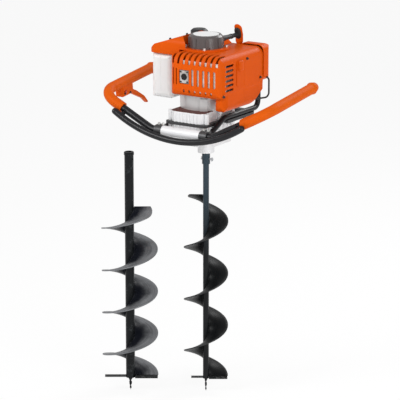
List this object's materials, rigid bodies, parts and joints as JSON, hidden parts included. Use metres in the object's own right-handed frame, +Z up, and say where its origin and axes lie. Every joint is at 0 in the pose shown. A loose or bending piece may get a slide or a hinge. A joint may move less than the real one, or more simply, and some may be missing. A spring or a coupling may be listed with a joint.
{
  "type": "earth auger",
  "caption": "One-man petrol earth auger: orange engine on a reduction gearbox and U-shaped handle frame, driving a helical drill bit, with a wider spare bit standing beside it.",
  "frame": {"origin": "tip of the fitted bit's pilot point, on the drive axis", "axes": "+Z up along the drive axis; +X towards the cylinder head; -Y towards the exhaust and the cross bar, so that the operator stands at +Y"},
  "size_m": [0.677, 0.4182, 1.2534],
  "materials": {
    "orange_cover": "glossy orange moulded covers",
    "orange_rubber": "satin orange grip rubber",
    "black_frame": "gloss black enamel",
    "bit_paint": "black enamel, rubbed at the edges",
    "cast_alloy": "shot-blasted casting",
    "steel": "machined",
    "black_plastic": "satin black moulding",
    "white_tank": "translucent white tank",
    "white_disc": "plain white",
    "lead_rubber": "black rubber",
    "foam": "filter foam",
    "red_rubber": "translucent red bulb",
    "red_plastic": "satin red",
    "rope": "braided cord",
    "pale_sleeve": "plain pale sleeve"
  },
  "bodies": {
    "machine": {"output_bearings": "steel", "bearing_cap": "cast_alloy", "bearing_cap_bolts": "steel", "case_bearings": "steel", "gear_case_lower": "cast_alloy", "frame_plate": "black_frame", "gear_case_upper": "cast_alloy", "gear_case_bolts": "steel", "clutch_housing": "cast_alloy", "crankcase": "cast_alloy", "engine_cylinder": "cast_alloy", "spark_plug": "steel", "plug_boot": "lead_rubber", "ignition_lead": "lead_rubber", "muffler": "steel", "muffler_cover": "orange_cover", "rear_shroud": "orange_cover", "fan_housing": "orange_cover", "starter_housing": "black_plastic", "starter_disc": "white_disc", "rope_guide": "orange_cover", "tank_cover": "orange_cover", "fuel_tank": "white_tank", "carburettor": "cast_alloy", "air_filter": "foam", "air_filter_cover": "orange_cover", "handle_tube": "black_frame", "bar_sleeve": "pale_sleeve", "handle_clamps": "cast_alloy", "bow_tube": "black_frame", "side_rails": "black_frame", "left_grip": "orange_rubber", "right_grip": "orange_rubber", "throttle_housing": "orange_cover"},
    "drill": {"bit_shaft": "bit_paint", "bit_flight": "bit_paint", "bit_blades": "steel", "bit_point": "bit_paint", "cross_pin": "steel", "output_shaft": "bit_paint", "output_wheel": "steel"},
    "countershaft": {"layshaft": "steel", "layshaft_wheel": "steel"},
    "drum": {"input_pinion": "steel", "clutch_drum": "steel"},
    "crank": {"crankshaft": "steel", "clutch_shoes": "steel", "flywheel": "cast_alloy"},
    "pulley": {"starter_pulley": "black_plastic"},
    "pull": {"starter_grip": "orange_cover", "starter_rope": "rope"},
    "throttle": {"throttle_lever": "orange_cover"},
    "switch": {"stop_switch": "red_plastic"},
    "choke": {"choke_lever": "black_plastic"},
    "primer": {"primer_bulb": "red_rubber"},
    "cap": {"fuel_cap": "black_plastic"},
    "spare": {"spare_tube": "bit_paint", "spare_flight": "bit_paint", "spare_blades": "steel", "spare_point": "bit_paint"}
  },
  "joints": [
    {"name": "drill_spin", "type": "hinge", "parent": "machine", "child": "drill", "pos_m": [0, 0, 0.8], "axis": [0, 0, 1], "continuous": true},
    {"name": "countershaft_spin", "type": "hinge", "parent": "machine", "child": "countershaft", "pos_m": [0, -0.06, 0.9], "axis": [0, 0, 1], "continuous": true},
    {"name": "drum_spin", "type": "hinge", "parent": "machine", "child": "drum", "pos_m": [0, 0, 0.95], "axis": [0, 0, 1], "continuous": true},
    {"name": "crank_spin", "type": "hinge", "parent": "machine", "child": "crank", "pos_m": [0, 0, 1.06], "axis": [0, 0, 1], "continuous": true},
    {"name": "starter_pull", "type": "slide", "parent": "machine", "child": "pull", "axis": [0, 1, 0], "range_m": [0, 0.6], "stiffness_N_per_m": 10, "springref_m": -0.4},
    {"name": "pulley_spin", "type": "hinge", "parent": "machine", "child": "pulley", "pos_m": [0, 0, 1.184], "axis": [0, 0, 1], "range_deg": [0, 1210]},
    {"name": "throttle_squeeze", "type": "hinge", "parent": "machine", "child": "throttle", "pos_m": [-0.318, 0.00804, 1.01081], "axis": [1, 0, 0], "range_deg": [0, 24], "stiffness_Nm_per_rad": 0.8, "springref_deg": -17.19},
    {"name": "switch_slide", "type": "slide", "parent": "machine", "child": "switch", "axis": [0, 0.9931, 0.1172], "range_m": [0, 0.005]},
    {"name": "choke_swing", "type": "hinge", "parent": "machine", "child": "choke", "pos_m": [0.0456, 0.148, 1.114], "axis": [1, 0, 0], "range_deg": [-60, 0]},
    {"name": "primer_press", "type": "slide", "parent": "machine", "child": "primer", "axis": [0, 0, 1], "range_m": [0, 0.005], "stiffness_N_per_m": 400, "springref_m": -0.002},
    {"name": "cap_turn", "type": "hinge", "parent": "machine", "child": "cap", "pos_m": [-0.114, 0.134, 1.15], "axis": [0, 0, 1], "range_deg": [0, 180]},
    {"name": "spare_carry", "type": "slide", "parent": "machine", "child": "spare", "axis": [-0.866, -0.5, 0], "range_m": [0, 0.5]}
  ],
  "couplings": [
    {"joint": "countershaft_spin", "follows": "drill_spin", "ratio": -5.6667},
    {"joint": "drum_spin", "follows": "drill_spin", "ratio": 32.111},
    {"joint": "pulley_spin", "follows": "starter_pull", "rad_per_m": 35.026}
  ]
}
